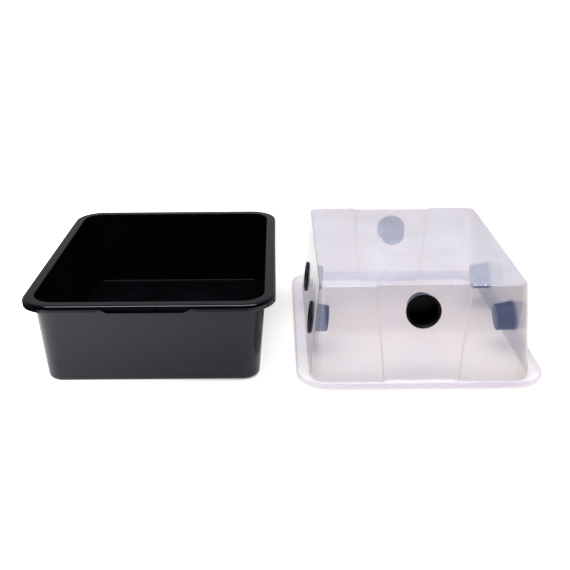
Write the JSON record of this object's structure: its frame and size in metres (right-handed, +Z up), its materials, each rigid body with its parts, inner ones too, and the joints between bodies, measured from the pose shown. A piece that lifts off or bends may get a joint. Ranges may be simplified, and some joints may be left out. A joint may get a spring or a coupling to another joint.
{
  "type": "ported tub enclosure",
  "caption": "Two-part tub enclosure: a black open tub, and a clear tub cover that stands beside it mouth down, with ports in its walls closed by black push-in plugs.",
  "frame": {"origin": "on the floor, under the middle of the two tubs' box", "axes": "+Z up; +X from the black tub towards the clear cover; the tubs' long sides run along Y"},
  "size_m": [0.8448, 0.5112, 0.165],
  "materials": {
    "black_tub": "satin, fine moulded grain outside and smooth inside",
    "clear_tub": "milky-clear polypropylene, smooth",
    "black_plug": "matt, moulded"
  },
  "bodies": {
    "base": {"base_tub": "black_tub"},
    "cover": {"cover_tub": "clear_tub"},
    "plug_front": {"port_plug_front": "black_plug"},
    "plug_back": {"port_plug_back": "black_plug"},
    "plug_left_front": {"port_plug_left_front": "black_plug"},
    "plug_left_rear": {"port_plug_left_rear": "black_plug"},
    "plug_right_front": {"port_plug_right_front": "black_plug"},
    "plug_right_rear": {"port_plug_right_rear": "black_plug"}
  },
  "joints": [
    {"name": "cover_lift", "type": "slide", "parent": "base", "child": "cover", "axis": [0, 0, 1], "range_m": [0, 0.2]},
    {"name": "plug_front_pull", "type": "slide", "parent": "cover", "child": "plug_front", "axis": [0, -0.9957, 0.0929], "range_m": [0, 0.04]},
    {"name": "plug_back_pull", "type": "slide", "parent": "cover", "child": "plug_back", "axis": [0, 0.9957, 0.0929], "range_m": [0, 0.04]},
    {"name": "plug_left_front_pull", "type": "slide", "parent": "cover", "child": "plug_left_front", "axis": [-0.9957, 0, 0.0929], "range_m": [0, 0.04]},
    {"name": "plug_left_rear_pull", "type": "slide", "parent": "cover", "child": "plug_left_rear", "axis": [-0.9957, 0, 0.0929], "range_m": [0, 0.04]},
    {"name": "plug_right_front_pull", "type": "slide", "parent": "cover", "child": "plug_right_front", "axis": [0.9957, 0, 0.0929], "range_m": [0, 0.04]},
    {"name": "plug_right_rear_pull", "type": "slide", "parent": "cover", "child": "plug_right_rear", "axis": [0.9957, 0, 0.0929], "range_m": [0, 0.04]}
  ]
}
